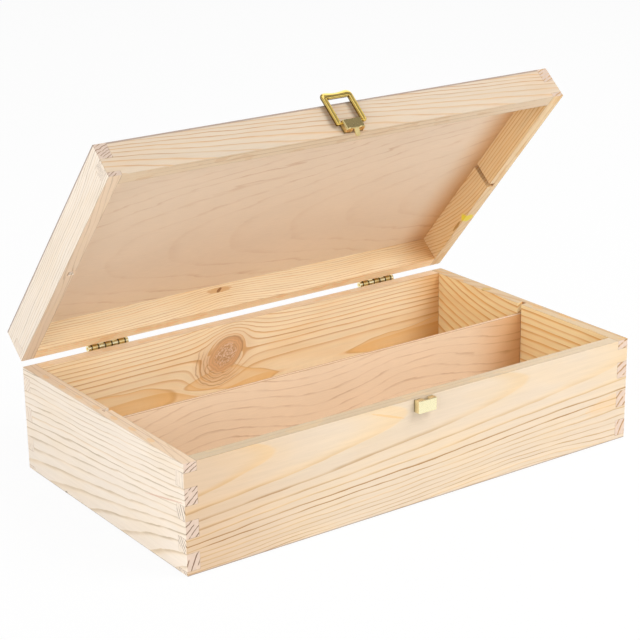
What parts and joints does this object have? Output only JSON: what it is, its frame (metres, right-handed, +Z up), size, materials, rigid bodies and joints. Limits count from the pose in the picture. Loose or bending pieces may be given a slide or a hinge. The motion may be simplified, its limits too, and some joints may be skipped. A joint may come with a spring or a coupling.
{
  "type": "wooden wine box",
  "caption": "Shallow finger-jointed pine box with a plywood divider, its hinged lid standing open, brass hinges behind and a folded brass latch with a swinging frame in front.",
  "frame": {"origin": "centre of the flat underside of the box's bottom", "axes": "+X to the right along the box's long side, +Y to the rear where the hinges are, +Z up; the latch is on the -Y face"},
  "size_m": [0.35, 0.2244, 0.2485],
  "materials": {
    "pine": "planed and sanded, no varnish, visible grain and end grain",
    "plywood": "sanded plywood, faint figure",
    "divider_plywood": "sanded thin plywood, faint figure",
    "brass": "pressed, lightly polished",
    "latch_brass": "pressed, bright with darker tarnish",
    "nail_brass": "bright heads"
  },
  "bodies": {
    "base": {"base_front_wall": "pine", "base_rear_wall": "pine", "base_left_wall": "pine", "base_right_wall": "pine", "base_bottom_panel": "plywood", "keeper": "latch_brass", "left_hinge_base_leaf": "brass", "left_hinge_pin": "brass", "left_hinge_base_nails": "nail_brass", "right_hinge_base_leaf": "brass", "right_hinge_pin": "brass", "right_hinge_base_nails": "nail_brass"},
    "lid": {"lid_front_rail": "pine", "lid_rear_rail": "pine", "lid_left_rail": "pine", "lid_right_rail": "pine", "lid_top_panel": "plywood", "latch_plate": "latch_brass", "left_hinge_lid_leaf": "brass", "left_hinge_lid_nails": "nail_brass", "right_hinge_lid_leaf": "brass", "right_hinge_lid_nails": "nail_brass"},
    "latch": {"latch_frame": "latch_brass"},
    "divider": {"divider": "divider_plywood"}
  },
  "joints": [
    {"name": "lid_hinge", "type": "hinge", "parent": "base", "child": "lid", "pos_m": [0, 0.104, 0.0717], "axis": [-1, 0, 0], "range_deg": [-49, 131]},
    {"name": "latch_pivot", "type": "hinge", "parent": "lid", "child": "latch", "pos_m": [-0.0005, -0.02667, 0.23239], "axis": [1, 0, 0], "range_deg": [0, 180]},
    {"name": "divider_lift", "type": "slide", "parent": "base", "child": "divider", "axis": [0, 0, 1], "range_m": [0, 0.025]}
  ]
}
